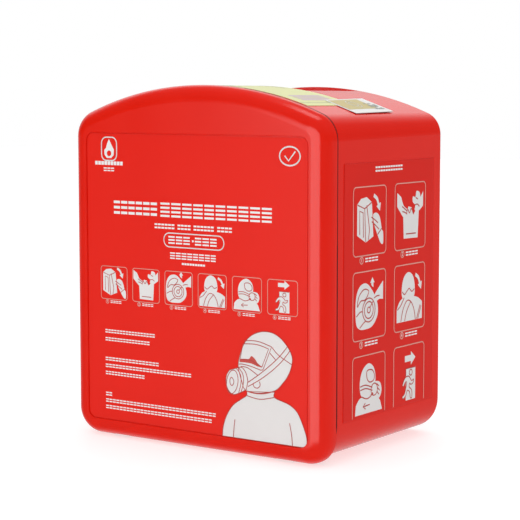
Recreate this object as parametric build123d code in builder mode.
"""Smoke hood in its wall box: a hinged red case that holds a filter hood sealed in a foil bag.

X is to the right seen from the front, Y runs from the front cover to the back wall, Z is up.
The origin is on the floor under the middle of the box. Units are millimetres.
"""

import os

from build123d import *

# --- driving dimensions of the box ---------------------------------------------------------
WIDTH = 160.0  # front cover, side to side
DEPTH = 112.0  # front face to back face
TOP = 183.7  # crest of the front cover
BASE = 0.3  # underside of the front cover, just off the floor
FRONT = -DEPTH / 2
BACK = DEPTH / 2
DOME_R = 192.0
CORNER_R = 14.0  # shoulders, and the cover's lower corners
CASE_LOW_R = 19.0  # the case's lower corners, rounder than the cover's
WALL = 2.0
COVER_EDGE = FRONT + 10.0  # rear edge of the cover
CASE_EDGE = COVER_EDGE + 0.4  # the seam between them is 0.4 wide
EDGE_ROUND = 8.6  # rounded front edge of the cover
SPIGOT_OUT, SPIGOT_IN, SPIGOT_L = 2.3, 3.8, 3.2
HINGE_Y, HINGE_Z = FRONT + 9.0, 3.2
BAND_DROP = 2.1  # how far the flat band on top lies under the crest
BACK_RIM = 3.0  # the rim left standing behind the band

# --- driving dimensions of the packed hood -------------------------------------------------
CAN_Z = 56.0  # axis of the filter canister, which runs along Y
CAN_R, CAN_WALL = 45.0, 1.4
CAN_FRONT, CAN_BACK = -30.0, 6.0
PORT_R = 12.0  # inlet port in the front cap
NECK_R, NECK_BORE, NECK_END = 16.0, 13.0, 21.0
CUP_FRONT, CUP_BACK, CUP_WALL = 13.5, 44.0, 2.0
VALVE_Y, VALVE_Z, VALVE_X = 31.0, 50.0, 44.0  # exhalation valves, at plus and minus X
VISOR_R, VISOR_Y = 80.0, 50.0  # the visor is bent round an upright axis at this Y
VISOR_Z, VISOR_H, VISOR_HALF = 128.0, 44.0, 50.0
STACK_LOW, LAYER, LAYERS = 104.0, 9.0, 5  # hood fabric folded above the canister
BAG_HALF, BAG_FRONT, BAG_BACK = 68.0, -50.0, 50.0
BAG_LOW, BAG_HIGH, FOIL = 8.0, 157.0, 0.4

os.makedirs("parts", exist_ok=True)


def save(part, name):
    """Labels a finished piece and writes it to its own STEP file."""
    part.label = name
    export_step(part, f"parts/{name}.step")


def at(y):
    """The upright plane at y, facing the front, whose local y is Z."""
    return Plane.XZ.offset(-y)


def front_outline(y, side=0.0, top=0.0, low=0.0, low_r=CORNER_R):
    """The box's domed front view at depth y, drawn in by side, top and low."""
    half, crest, foot = WIDTH / 2 - side, TOP - top, BASE + low
    dome = DOME_R - top
    with BuildSketch(at(y)) as outline:
        with Locations((0, (crest + foot) / 2)):
            Rectangle(2 * half, crest - foot)
        with Locations((0, crest - dome)):
            Circle(dome, mode=Mode.INTERSECT)
        upper = outline.vertices().group_by(Axis.Y)[-1]
        fillet(upper, CORNER_R - side)
        lower = outline.vertices().group_by(Axis.Y)[0]
        fillet(lower, low_r - side)
    return outline.sketch


def case_outline(y, inset=0.0):
    """The rear case narrows towards the back, so that it leaves its mould."""
    share = (y - CASE_EDGE) / (BACK - CASE_EDGE)
    side, top, low = 0.4 + 1.6 * share, 0.4 + 0.8 * share, 0.8 + 0.8 * share
    return front_outline(y, side + inset, top + inset, low + inset, CASE_LOW_R)


def band_tool(drop=0.0):
    """Everything above the flat band that runs from the seam to the back rim."""
    start, end = CASE_EDGE - 8.0, BACK - BACK_RIM
    z_front = TOP - 0.4 - BAND_DROP - drop
    z_back = z_front - 0.8
    with BuildPart() as tool:
        with BuildSketch(Plane.YZ):
            with BuildLine():
                Polyline(
                    (start, z_front), (end, z_back), (end, TOP + 5), (start, TOP + 5), close=True
                )
            make_face()
        extrude(amount=WIDTH / 2, both=True)
    return tool.part


# --- rear_case: moulded shell with a domed top, spigot rim, hinge ears and feet -------------
EAR_X, EAR_W = 52.0, 10.0
EAR_R, PIN_R = 2.6, 1.25
HINGE_CUT = 144.0  # width of the channel the cover's lower edge turns in
SCREW_X, SCREW_Z, SCREW_R = 50.0, 150.0, 2.25
FOOT_X, FOOT_YS = 44.0, (-32.0, 42.0)

with BuildPart() as case_skin:
    loft([case_outline(CASE_EDGE), case_outline(BACK)])
    back_edges = case_skin.edges().filter_by_position(Axis.Y, BACK - 0.01, BACK + 0.01)
    fillet(back_edges, 1.8)

with BuildPart() as case_hollow:
    loft([case_outline(CASE_EDGE - 0.5, WALL), case_outline(BACK - WALL, WALL)])
    add(band_tool(drop=WALL), mode=Mode.SUBTRACT)

with BuildPart() as rear_case:
    add(case_skin.part)
    add(band_tool(), mode=Mode.SUBTRACT)
    add(case_hollow.part, mode=Mode.SUBTRACT)
    # the thick rim behind the seam, and the spigot that enters the cover
    extrude(front_outline(CASE_EDGE, 0.5, 0.5, 1.3, CASE_LOW_R), amount=3.0, dir=(0, 1, 0))
    spigot = front_outline(CASE_EDGE, SPIGOT_OUT, SPIGOT_OUT, SPIGOT_OUT, CASE_LOW_R)
    extrude(spigot, amount=SPIGOT_L, dir=(0, -1, 0))
    opening = front_outline(CASE_EDGE + 3.0, SPIGOT_IN, SPIGOT_IN, SPIGOT_IN, CASE_LOW_R)
    extrude(opening, amount=SPIGOT_L + 3.0, dir=(0, -1, 0), mode=Mode.SUBTRACT)
    add(band_tool(), mode=Mode.SUBTRACT)
    # no spigot along the hinge, and room for the cover's lower edge to swing
    with Locations((0, CASE_EDGE - 4.0, 11.0)):
        Box(WIDTH, 8.0, 24.0, mode=Mode.SUBTRACT)
    with Locations((0, HINGE_Y + 1.0, 1.0)):
        Box(HINGE_CUT, 5.6, 5.2, mode=Mode.SUBTRACT)
    with Locations((0, HINGE_Y, HINGE_Z)):
        Cylinder(3.4, HINGE_CUT, rotation=(0, 90, 0), mode=Mode.SUBTRACT)
    # hinge ears
    for x in (-EAR_X, EAR_X):
        with Locations((x, HINGE_Y + 4.0, HINGE_Z + 0.25)):
            Box(EAR_W, 8.0, 4.7)
        with Locations((x, HINGE_Y, HINGE_Z)):
            Cylinder(EAR_R, EAR_W, rotation=(0, 90, 0))
            Cylinder(PIN_R + 0.05, EAR_W, rotation=(0, 90, 0), mode=Mode.SUBTRACT)
    # feet
    for y in FOOT_YS:
        for x in (-FOOT_X, FOOT_X):
            with BuildSketch():
                with Locations((x, y)):
                    RectangleRounded(26.0, 9.0, 3.0)
            extrude(amount=2.4)
    # wall screw holes
    with BuildSketch(at(BACK)):
        with Locations((-SCREW_X, SCREW_Z), (SCREW_X, SCREW_Z)):
            Circle(SCREW_R)
    extrude(amount=6.0, mode=Mode.SUBTRACT)
    # a shallow field on the back wall, clear of the screw holes
    with BuildSketch(at(BACK)):
        with Locations((0, 78.0)):
            RectangleRounded(124.0, 118.0, 6.0)
    extrude(amount=0.6, mode=Mode.SUBTRACT)
save(rear_case.part, "rear_case")

# --- rim_gasket: black rubber strip in the seam, left out over the band and the hinge -------
GASKET_T = 0.3
with BuildPart() as rim_gasket:
    gasket_edge = front_outline(CASE_EDGE, 0.9, 0.9, 1.7, CASE_LOW_R)
    extrude(gasket_edge, amount=GASKET_T, dir=(0, -1, 0))
    extrude(spigot, amount=GASKET_T, dir=(0, -1, 0), mode=Mode.SUBTRACT)
    add(band_tool(), mode=Mode.SUBTRACT)
    with Locations((0, CASE_EDGE, 3.0)):
        Box(HINGE_CUT, 2.0, 8.0, mode=Mode.SUBTRACT)
save(rim_gasket.part, "rim_gasket")

# --- front_cover: shallow tray with a rounded edge and a sunk panel for its label -----------
PANEL_HALF, PANEL_LOW, PANEL_HIGH = 69.8, 9.3, 159.3
PANEL_SINK, PANEL_R = 0.8, 4.6
PANEL_Z = (PANEL_LOW + PANEL_HIGH) / 2
PANEL_H = PANEL_HIGH - PANEL_LOW
KNUCKLE_W, KNUCKLE_GAP = 5.6, 0.4
NOTCH_R = 4.5

with BuildPart() as cover_hollow:
    depth = COVER_EDGE - FRONT - WALL - PANEL_SINK
    extrude(front_outline(COVER_EDGE, WALL, WALL, WALL), amount=depth, dir=(0, -1, 0))
    inner_edges = cover_hollow.edges().group_by(Axis.Y)[0]
    fillet(inner_edges, 5.0)

with BuildPart() as front_cover:
    extrude(front_outline(COVER_EDGE), amount=COVER_EDGE - FRONT, dir=(0, -1, 0))
    fillet(front_cover.edges().group_by(Axis.Y)[0], EDGE_ROUND)
    add(cover_hollow.part, mode=Mode.SUBTRACT)
    with BuildSketch(at(FRONT)):
        with Locations((0, PANEL_Z)):
            RectangleRounded(2 * PANEL_HALF, PANEL_H, PANEL_R)
    extrude(amount=-PANEL_SINK, mode=Mode.SUBTRACT)
    panel_edges = front_cover.edges().filter_by_position(Axis.Y, FRONT - 0.01, FRONT + 0.01)
    rim_edges = [e for e in panel_edges if abs(e.center().X) < PANEL_HALF + 0.5]
    panel_rim = ShapeList(rim_edges).filter_by(
        lambda e: PANEL_LOW - 0.2 < e.center().Z < PANEL_HIGH + 0.2
    )
    chamfer(panel_rim, 0.3)
    # notches where the case's ears reach in, and the knuckles on both sides of each ear
    for x in (-EAR_X, EAR_X):
        with Locations((x, HINGE_Y, HINGE_Z)):
            Cylinder(NOTCH_R, EAR_W + 2 * KNUCKLE_GAP, rotation=(0, 90, 0), mode=Mode.SUBTRACT)
        shift = EAR_W / 2 + KNUCKLE_GAP + KNUCKLE_W / 2
        for side in (-shift, shift):
            with Locations((x + side, HINGE_Y - 1.6, HINGE_Z - 0.8)):
                Box(KNUCKLE_W, 3.2, 2.4)
            with Locations((x + side, HINGE_Y, HINGE_Z)):
                Cylinder(EAR_R, KNUCKLE_W, rotation=(0, 90, 0))
                Cylinder(PIN_R + 0.01, KNUCKLE_W, rotation=(0, 90, 0), mode=Mode.SUBTRACT)
save(front_cover.part, "front_cover")

# --- hinge_pin: a steel pin through each ear and its two knuckles ---------------------------
PIN_L = EAR_W + 2 * (KNUCKLE_GAP + KNUCKLE_W) - 0.6
for side, name in ((-1, "left"), (1, "right")):
    with BuildPart() as hinge_pin:
        with Locations((side * EAR_X, HINGE_Y, HINGE_Z)):
            Cylinder(PIN_R, PIN_L, rotation=(0, 90, 0))
        chamfer(hinge_pin.edges().filter_by(GeomType.CIRCLE), 0.3)
    save(hinge_pin.part, f"hinge_pin_{name}")

# --- labels: printed films on the panel, both sides and the top -----------------------------
FILM = 0.25
SIDE_LABEL_Y, SIDE_LABEL_Z = (-39.5, 47.5), (20.4, 146.0)
SEAL_X, SEAL_Y = 60.0, (-42.0, 0.0)
TICKET_X, TICKET_Y, TICKET_TURN = 61.4, 1.8, 2.0
TICKET_W, TICKET_L = 19.5, 36.5

with BuildPart() as front_label:
    with BuildSketch(at(FRONT + PANEL_SINK)):
        with Locations((0, PANEL_Z)):
            RectangleRounded(2 * PANEL_HALF - 1.0, PANEL_H - 1.0, PANEL_R - 0.5)
    extrude(amount=FILM)
save(front_label.part, "front_label")

with BuildPart() as film_blank:
    loft([case_outline(CASE_EDGE, -FILM), case_outline(BACK, -FILM)])
    add(case_skin.part, mode=Mode.SUBTRACT)

for side, name in ((-1, "left"), (1, "right")):
    with BuildPart() as side_label:
        with Locations((side * WIDTH / 2, sum(SIDE_LABEL_Y) / 2, sum(SIDE_LABEL_Z) / 2)):
            Box(8.0, SIDE_LABEL_Y[1] - SIDE_LABEL_Y[0], SIDE_LABEL_Z[1] - SIDE_LABEL_Z[0])
        add(film_blank.part, mode=Mode.INTERSECT)
    save(side_label.part, f"side_label_{name}")

# the seal label bridges the band, because it is stuck on tight
with BuildPart() as seal_label:
    with Locations((0, sum(SEAL_Y) / 2, TOP)):
        Box(2 * SEAL_X, SEAL_Y[1] - SEAL_Y[0], 40.0)
    add(film_blank.part, mode=Mode.INTERSECT)
save(seal_label.part, "seal_label")

# the ticket lies partly on the seal label, so it is one film higher and flat
TICKET_LOW, TICKET_SLOPE = 173.15, 0.345
with BuildPart() as ticket_label:
    slope = Plane(
        origin=(TICKET_X, TICKET_Y, TICKET_LOW),
        x_dir=(1.0, 0.0, -TICKET_SLOPE),
        z_dir=(TICKET_SLOPE, 0.0, 1.0),
    )
    with BuildSketch(slope):
        Rectangle(TICKET_W, TICKET_L, rotation=TICKET_TURN)
    extrude(amount=FILM)
save(ticket_label.part, "ticket_label")

# --- instruction_leaflet: folded in three, behind the bag -----------------------------------
with BuildPart() as instruction_leaflet:
    with BuildSketch(Plane.XY.offset(30.0)):
        with Locations((0, 51.15), (0, 51.65), (0, 52.15)):
            Rectangle(92.0, 0.3)
        with Locations((45.85, 51.4), (-45.85, 51.9)):
            Rectangle(0.3, 0.8)
    extrude(amount=105.0)
save(instruction_leaflet.part, "instruction_leaflet")

# --- foil_bag: pouch with a sealed fin at the top and bottom and a tear notch at each end ---
def pouch(inset):
    """The bag's stuffed shape, or its hollow when it is drawn in by inset."""
    with BuildPart() as body:
        with BuildSketch(Plane.XY.offset(BAG_LOW + inset)):
            with Locations((0, (BAG_FRONT + BAG_BACK) / 2)):
                width, depth = 2 * (BAG_HALF - inset), BAG_BACK - BAG_FRONT - 2 * inset
                RectangleRounded(width, depth, 12.0 - inset)
        extrude(amount=BAG_HIGH - BAG_LOW - 2 * inset)
        ends = body.edges().group_by(Axis.Z)
        fillet(ends[0] + ends[-1], 8.0 - inset)
    return body.part


with BuildPart() as foil_bag:
    add(pouch(0.0))
    add(pouch(FOIL), mode=Mode.SUBTRACT)
    for z, height, half in ((BAG_HIGH - FOIL, 11.0, 54.0), (BAG_LOW + FOIL, -3.4, 50.0)):
        with BuildSketch(Plane.XY.offset(z)):
            Rectangle(2 * half, 1.0)
        extrude(amount=height)
    for side in (-1, 1):
        with BuildSketch(Plane.XZ.offset(-2.0)):
            with Locations((side * 54.0, BAG_HIGH + 5.0)):
                Rectangle(2.4, 2.4, rotation=45)
        extrude(amount=4.0, mode=Mode.SUBTRACT)
save(foil_bag.part, "foil_bag")


# --- canister: body, cap and the layers of the filter, from the front to the back -----------
def disc(y, radius, thickness, hole=0.0):
    """A round layer on the canister's axis whose front face is at y."""
    with BuildPart() as layer:
        with BuildSketch(at(y + thickness)):
            with Locations((0, CAN_Z)):
                Circle(radius)
                if hole:
                    Circle(hole, mode=Mode.SUBTRACT)
        extrude(amount=thickness)
    return layer.part


INSIDE_R = CAN_R - CAN_WALL
LAYER_R = INSIDE_R - 0.1

with BuildPart() as canister_body:
    add(disc(CAN_FRONT, CAN_R, CAN_BACK - CAN_FRONT, INSIDE_R))
    add(disc(CAN_BACK - 1.6, CAN_R, 1.6, NECK_BORE))
    add(disc(CAN_BACK - 1.6, NECK_R, NECK_END - CAN_BACK + 1.6, NECK_BORE))
    add(disc(-8.0, CAN_R + 0.7, 2.5, CAN_R - 0.4))
save(canister_body.part, "canister_body")

with BuildPart() as canister_cap:
    add(disc(CAN_FRONT - 1.8, CAN_R + 1.6, 1.8, PORT_R))
    add(disc(CAN_FRONT, CAN_R + 1.6, 8.0, CAN_R + 0.05))
    add(disc(CAN_FRONT - 4.3, PORT_R + 3.0, 2.5, PORT_R))
    with BuildSketch(at(CAN_FRONT - 1.8)):
        with Locations((0, CAN_Z)):
            with PolarLocations(29.0, 12):
                SlotOverall(20.0, 2.0)
    extrude(amount=1.2)
save(canister_cap.part, "canister_cap")


def perforated(y, name):
    """A thin plate with rings of holes that holds the filter layers in."""
    with BuildPart() as plate:
        add(disc(y, LAYER_R, 0.8))
        with BuildSketch(at(y + 0.8)):
            with Locations((0, CAN_Z)):
                for radius, count in ((7.0, 6), (14.0, 12), (21.0, 18), (28.0, 24), (35.0, 30)):
                    with PolarLocations(radius, count):
                        Circle(1.6)
        extrude(amount=0.8, mode=Mode.SUBTRACT)
    save(plate.part, name)


perforated(-28.0, "perforated_plate_front")
perforated(3.4, "perforated_plate_rear")
save(disc(-27.2, LAYER_R, 2.0), "felt_pad_front")

PLEAT_FRONT, PLEAT_BACK, PLEAT_STEP = -25.2, -15.0, 4.0
with BuildPart() as particulate_filter:
    with BuildSketch(Plane.XY.offset(CAN_Z - CAN_R)):
        crests = [-42.0 + i * PLEAT_STEP for i in range(22)]
        ends = [PLEAT_FRONT + 0.3, PLEAT_BACK - 0.9]
        near = [(x, ends[i % 2]) for i, x in enumerate(crests)]
        far = [(x, y + 0.6) for x, y in reversed(near)]
        with BuildLine():
            Polyline(*near, *far, close=True)
        make_face()
    extrude(amount=2 * CAN_R)
    add(disc(PLEAT_FRONT, LAYER_R - 1.6, PLEAT_BACK - PLEAT_FRONT), mode=Mode.INTERSECT)
    add(disc(PLEAT_FRONT, LAYER_R, PLEAT_BACK - PLEAT_FRONT, LAYER_R - 2.0))
save(particulate_filter.part, "particulate_filter")

save(disc(-15.0, LAYER_R, 2.0), "felt_pad_middle")
save(disc(-13.0, LAYER_R, 9.0), "carbon_bed")
save(disc(-4.0, LAYER_R, 5.4), "catalyst_bed")
save(disc(1.4, LAYER_R, 2.0), "felt_pad_rear")

# --- plugs: the outer one leaves forwards, the inner one backwards into the nose cup --------
with BuildPart() as outer_plug:
    face = CAN_FRONT - 4.3
    add(disc(face, PORT_R - 0.06, 5.6))
    add(disc(face - 1.8, PORT_R + 2.6, 1.8))
    with BuildSketch(at(face - 1.8)):
        with Locations((0, CAN_Z)):
            SlotOverall(22.0, 12.0)
            SlotOverall(16.0, 6.0, mode=Mode.SUBTRACT)
    extrude(amount=2.0)
save(outer_plug.part, "outer_plug")

with BuildPart() as inner_plug:
    add(disc(NECK_END - 6.5, NECK_BORE - 0.06, 6.5))
    add(disc(NECK_END, NECK_R - 0.4, 1.6))
    with BuildSketch(Plane.YZ.offset(-1.0)):
        with Locations((NECK_END + 1.6, CAN_Z)):
            Circle(6.0)
            Circle(3.4, mode=Mode.SUBTRACT)
        with Locations((NECK_END - 4.4, CAN_Z)):
            Rectangle(12.0, 14.0, mode=Mode.SUBTRACT)
    extrude(amount=2.0)
save(inner_plug.part, "inner_plug")

# --- connector_ring and gasket: they hold the canister's neck in the cup --------------------
with BuildPart() as connector_ring:
    add(disc(CUP_FRONT - 4.5, 21.0, 4.4, NECK_R + 0.05))
    with BuildSketch(at(CUP_FRONT - 0.1)):
        with Locations((0, CAN_Z)):
            with PolarLocations(21.0, 18):
                Circle(0.9, mode=Mode.ADD)
            Circle(20.5, mode=Mode.SUBTRACT)
    extrude(amount=4.4)
save(connector_ring.part, "connector_ring")

with BuildPart() as neck_gasket:
    with BuildSketch(Plane.YZ):
        with Locations((7.5, CAN_Z + NECK_R + 1.5)):
            Circle(1.4)
    revolve(axis=Axis((0, 0, CAN_Z), (0, 1, 0)), revolution_arc=360)
save(neck_gasket.part, "neck_gasket")

# --- inhalation valve: a spider and a loose disc in the neck --------------------------------
with BuildPart() as inhale_spider:
    add(disc(8.5, NECK_BORE - 0.02, 1.5, 10.5))
    with BuildSketch(at(10.0)):
        with Locations((0, CAN_Z)):
            for angle in (0, 60, 120):
                Rectangle(22.0, 1.6, rotation=angle)
    extrude(amount=1.5)
save(inhale_spider.part, "inhale_spider")
save(disc(10.1, NECK_BORE - 0.8, 0.6), "inhale_flap")


# --- nose_cup: soft half mask, open to the back, with a seat hole for each valve ------------
def cup_solid(inset):
    """The cup's outer shape, or its hollow when it is drawn in by inset."""
    with BuildPart() as cup:
        for y, wide, high in ((CUP_FRONT, 27.0, 26.0), (27.0, 38.0, 36.0), (CUP_BACK, 42.0, 40.0)):
            with BuildSketch(at(y + (inset if y == CUP_FRONT else 0.0))):
                with Locations((0, CAN_Z)):
                    Ellipse(wide - inset, high - inset)
        loft()
    return cup.part


with BuildPart() as nose_cup:
    add(cup_solid(0.0))
    add(cup_solid(CUP_WALL), mode=Mode.SUBTRACT)
    add(disc(CUP_FRONT - 1.0, NECK_R + 0.05, 4.0), mode=Mode.SUBTRACT)
    for side in (-1, 1):
        with Locations((side * VALVE_X, VALVE_Y, VALVE_Z)):
            Cylinder(9.0, 30.0, rotation=(0, 90, 0), mode=Mode.SUBTRACT)
save(nose_cup.part, "nose_cup")

# --- exhalation valves: seat, flap and cage on each side of the cup -------------------------
for side, name in ((-1, "left"), (1, "right")):
    outward = Plane(
        origin=(side * VALVE_X, VALVE_Y, VALVE_Z), x_dir=(0, side, 0), z_dir=(side, 0, 0)
    )
    with BuildPart() as exhale_seat:
        with BuildSketch(outward):
            Circle(9.0)
            Circle(6.8, mode=Mode.SUBTRACT)
        extrude(amount=-11.0)
        with BuildSketch(outward):
            Circle(11.5)
            Circle(6.8, mode=Mode.SUBTRACT)
        extrude(amount=-1.4)
        with BuildSketch(outward):
            Rectangle(14.6, 1.4)
            Rectangle(1.4, 14.6)
        extrude(amount=-1.4)
    save(exhale_seat.part, f"exhale_seat_{name}")

    with BuildPart() as exhale_flap:
        with BuildSketch(outward.offset(0.1)):
            Circle(8.0)
        extrude(amount=0.6)
    save(exhale_flap.part, f"exhale_flap_{name}")

    with BuildPart() as exhale_cage:
        with BuildSketch(outward):
            Circle(11.5)
            Circle(9.9, mode=Mode.SUBTRACT)
        extrude(amount=8.5)
        with BuildSketch(outward.offset(7.1)):
            Circle(11.5)
            with PolarLocations(6.0, 6):
                Circle(2.0, mode=Mode.SUBTRACT)
        extrude(amount=1.4)
    save(exhale_cage.part, f"exhale_cage_{name}")


# --- visor: bent lens in a frame with a strap tab at each end -------------------------------
def bent(inner, outer, half, low, high):
    """An upright strip bent round the visor's axis, half wide to each side of the middle."""
    with BuildPart() as strip:
        with BuildSketch(Plane.XY.offset(low)):
            with Locations((0, VISOR_Y)):
                Circle(VISOR_R + outer)
                Circle(VISOR_R + inner, mode=Mode.SUBTRACT)
            with Locations((0, VISOR_Y - VISOR_R)):
                Rectangle(2 * half, 60.0, mode=Mode.INTERSECT)
        extrude(amount=high - low)
    return strip.part


FRAME_LOW, FRAME_HIGH = VISOR_Z - VISOR_H / 2, VISOR_Z + VISOR_H / 2
with BuildPart() as visor_frame:
    add(bent(-1.0, 1.8, VISOR_HALF, FRAME_LOW, FRAME_HIGH))
    add(bent(-2.0, 3.0, VISOR_HALF - 5.0, FRAME_LOW + 5.0, FRAME_HIGH - 5.0), mode=Mode.SUBTRACT)
    add(bent(0.0, 0.8, VISOR_HALF - 2.0, FRAME_LOW + 2.0, FRAME_HIGH - 2.0), mode=Mode.SUBTRACT)
save(visor_frame.part, "visor_frame")
save(bent(0.05, 0.75, VISOR_HALF - 2.1, FRAME_LOW + 2.1, FRAME_HIGH - 2.1), "visor_lens")

# --- hood_fabric: one sheet folded into layers, with its last layer hanging down the back ---
STACK_FRONT, STACK_BACK, STACK_HALF = 0.0, 46.6, 60.0
with BuildPart() as hood_fabric:
    with BuildSketch(Plane.YZ.offset(-STACK_HALF)):
        for i in range(LAYERS):
            with Locations(((STACK_FRONT + STACK_BACK) / 2, STACK_LOW + LAYER * (i + 0.5))):
                RectangleRounded(STACK_BACK - STACK_FRONT, LAYER + 0.4, 3.6)
        with Locations((STACK_BACK - 0.9, (STACK_LOW + LAYER + 14.0) / 2)):
            Rectangle(1.8, STACK_LOW + LAYER - 14.0)
    extrude(amount=2 * STACK_HALF)
save(hood_fabric.part, "hood_fabric")

# --- neck_collar: elastic ring laid flat on the folded hood ---------------------------------
with BuildPart() as neck_collar:
    with BuildSketch(Plane.XY.offset(STACK_LOW + LAYER * LAYERS + 0.4)):
        with Locations((0, (STACK_FRONT + STACK_BACK) / 2)):
            SlotOverall(100.0, 40.0)
            SlotOverall(76.0, 16.0, mode=Mode.SUBTRACT)
    extrude(amount=2.6)
    fillet(neck_collar.edges().group_by(Axis.Z)[-1], 1.0)
save(neck_collar.part, "neck_collar")

# --- straps: two elastic bands round the folded hood, joined to the frame by buckles --------
STRAP_BACK, STRAP_OUT, STRAP_T = 48.9, 62.4, 1.4
with BuildPart() as head_straps:
    for z in (VISOR_Z - 14.0, VISOR_Z + 6.0):
        with BuildSketch(Plane.XY.offset(z)):
            with Locations((0, STRAP_BACK - 40.0)):
                RectangleRounded(2 * STRAP_OUT, 80.0, 3.0)
                wide, deep = 2 * (STRAP_OUT - STRAP_T), 80.0 - 2 * STRAP_T
                RectangleRounded(wide, deep, 3.0 - STRAP_T, mode=Mode.SUBTRACT)
            with Locations((0, -24.0)):
                Rectangle(140.0, 42.2, mode=Mode.SUBTRACT)
        extrude(amount=8.0)
save(head_straps.part, "head_straps")

for side, name in ((-1, "left"), (1, "right")):
    with BuildPart() as strap_buckle:
        with Locations((side * 61.7, -9.0, VISOR_Z)):
            Box(2.2, 12.0, 32.0)
        with Locations((side * 61.7, -9.0, VISOR_Z - 10.0), (side * 61.7, -9.0, VISOR_Z + 10.0)):
            Box(2.2, 6.0, 8.6, mode=Mode.SUBTRACT)
        with Locations((side * 55.35, -11.8, VISOR_Z)):
            Box(10.5, 1.6, 8.0)
    save(strap_buckle.part, f"strap_buckle_{name}")
